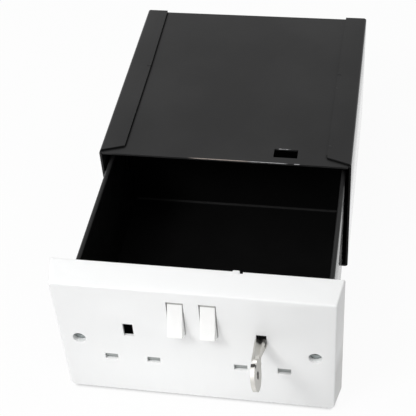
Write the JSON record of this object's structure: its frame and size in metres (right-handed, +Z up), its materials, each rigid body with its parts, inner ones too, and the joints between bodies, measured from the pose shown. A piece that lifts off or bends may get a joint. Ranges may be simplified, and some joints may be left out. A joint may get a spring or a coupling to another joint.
{
  "type": "outlet diversion safe",
  "caption": "Wall safe disguised as a double switched socket outlet: a folded steel drawer behind the plate slides in a sleeve and locks by a bolt that a key turns.",
  "frame": {"origin": "centre of the sleeve's underside", "axes": "+Z up, +Y into the wall, +X to the right as seen from the front; the drawer slides out along -Y"},
  "size_m": [0.146, 0.2732, 0.086],
  "materials": {
    "black_paint": "satin black powder paint on folded steel sheet",
    "white_plastic": "smooth white moulded plastic",
    "zinc_steel": "bright zinc plate",
    "dark_steel": "dark plated steel",
    "nickel": "nickel plate, slightly worn"
  },
  "bodies": {
    "sleeve": {"sleeve_wrap": "black_paint", "sleeve_top_panel": "black_paint", "sleeve_back_panel": "black_paint"},
    "drawer": {"drawer_tray": "black_paint", "drawer_front_panel": "black_paint", "drawer_back_panel": "black_paint", "socket_faceplate": "white_plastic", "shutter_left": "white_plastic", "shutter_right": "white_plastic", "faceplate_screw_left": "zinc_steel", "faceplate_screw_right": "zinc_steel", "faceplate_nut_left": "zinc_steel", "faceplate_nut_right": "zinc_steel", "lock_case": "dark_steel", "lock_case_screw_1": "zinc_steel", "lock_case_screw_2": "zinc_steel", "lock_case_screw_3": "zinc_steel", "lock_case_screw_4": "zinc_steel", "lock_barrel": "dark_steel", "lock_barrel_nut": "zinc_steel"},
    "plug": {"lock_plug": "dark_steel", "bolt_cam": "zinc_steel", "cam_screw": "zinc_steel"},
    "bolt": {"lock_bolt": "zinc_steel"},
    "key": {"key": "nickel"},
    "rocker_left": {"rocker_left": "white_plastic"},
    "rocker_right": {"rocker_right": "white_plastic"}
  },
  "joints": [
    {"name": "drawer_slide", "type": "slide", "parent": "sleeve", "child": "drawer", "axis": [0, -1, 0], "range_m": [-0.09, 0.036]},
    {"name": "plug_turn", "type": "hinge", "parent": "drawer", "child": "plug", "pos_m": [0.03365, -0.16, 0.0524], "axis": [0, 1, 0], "range_deg": [0, 90]},
    {"name": "bolt_slide", "type": "slide", "parent": "drawer", "child": "bolt", "axis": [0, 0, 1], "range_m": [0, 0.0079]},
    {"name": "key_slide", "type": "slide", "parent": "plug", "child": "key", "axis": [0, -1, 0], "range_m": [0, 0.016]},
    {"name": "rocker_left_turn", "type": "hinge", "parent": "drawer", "child": "rocker_left", "pos_m": [-0.0083, -0.1716, 0.0642], "axis": [1, 0, 0], "range_deg": [0, 40]},
    {"name": "rocker_right_turn", "type": "hinge", "parent": "drawer", "child": "rocker_right", "pos_m": [0.0079, -0.1716, 0.0642], "axis": [1, 0, 0], "range_deg": [0, 40]}
  ],
  "couplings": [
    {"joint": "bolt_slide", "follows": "plug_turn", "m_per_rad": 0.0049518}
  ]
}
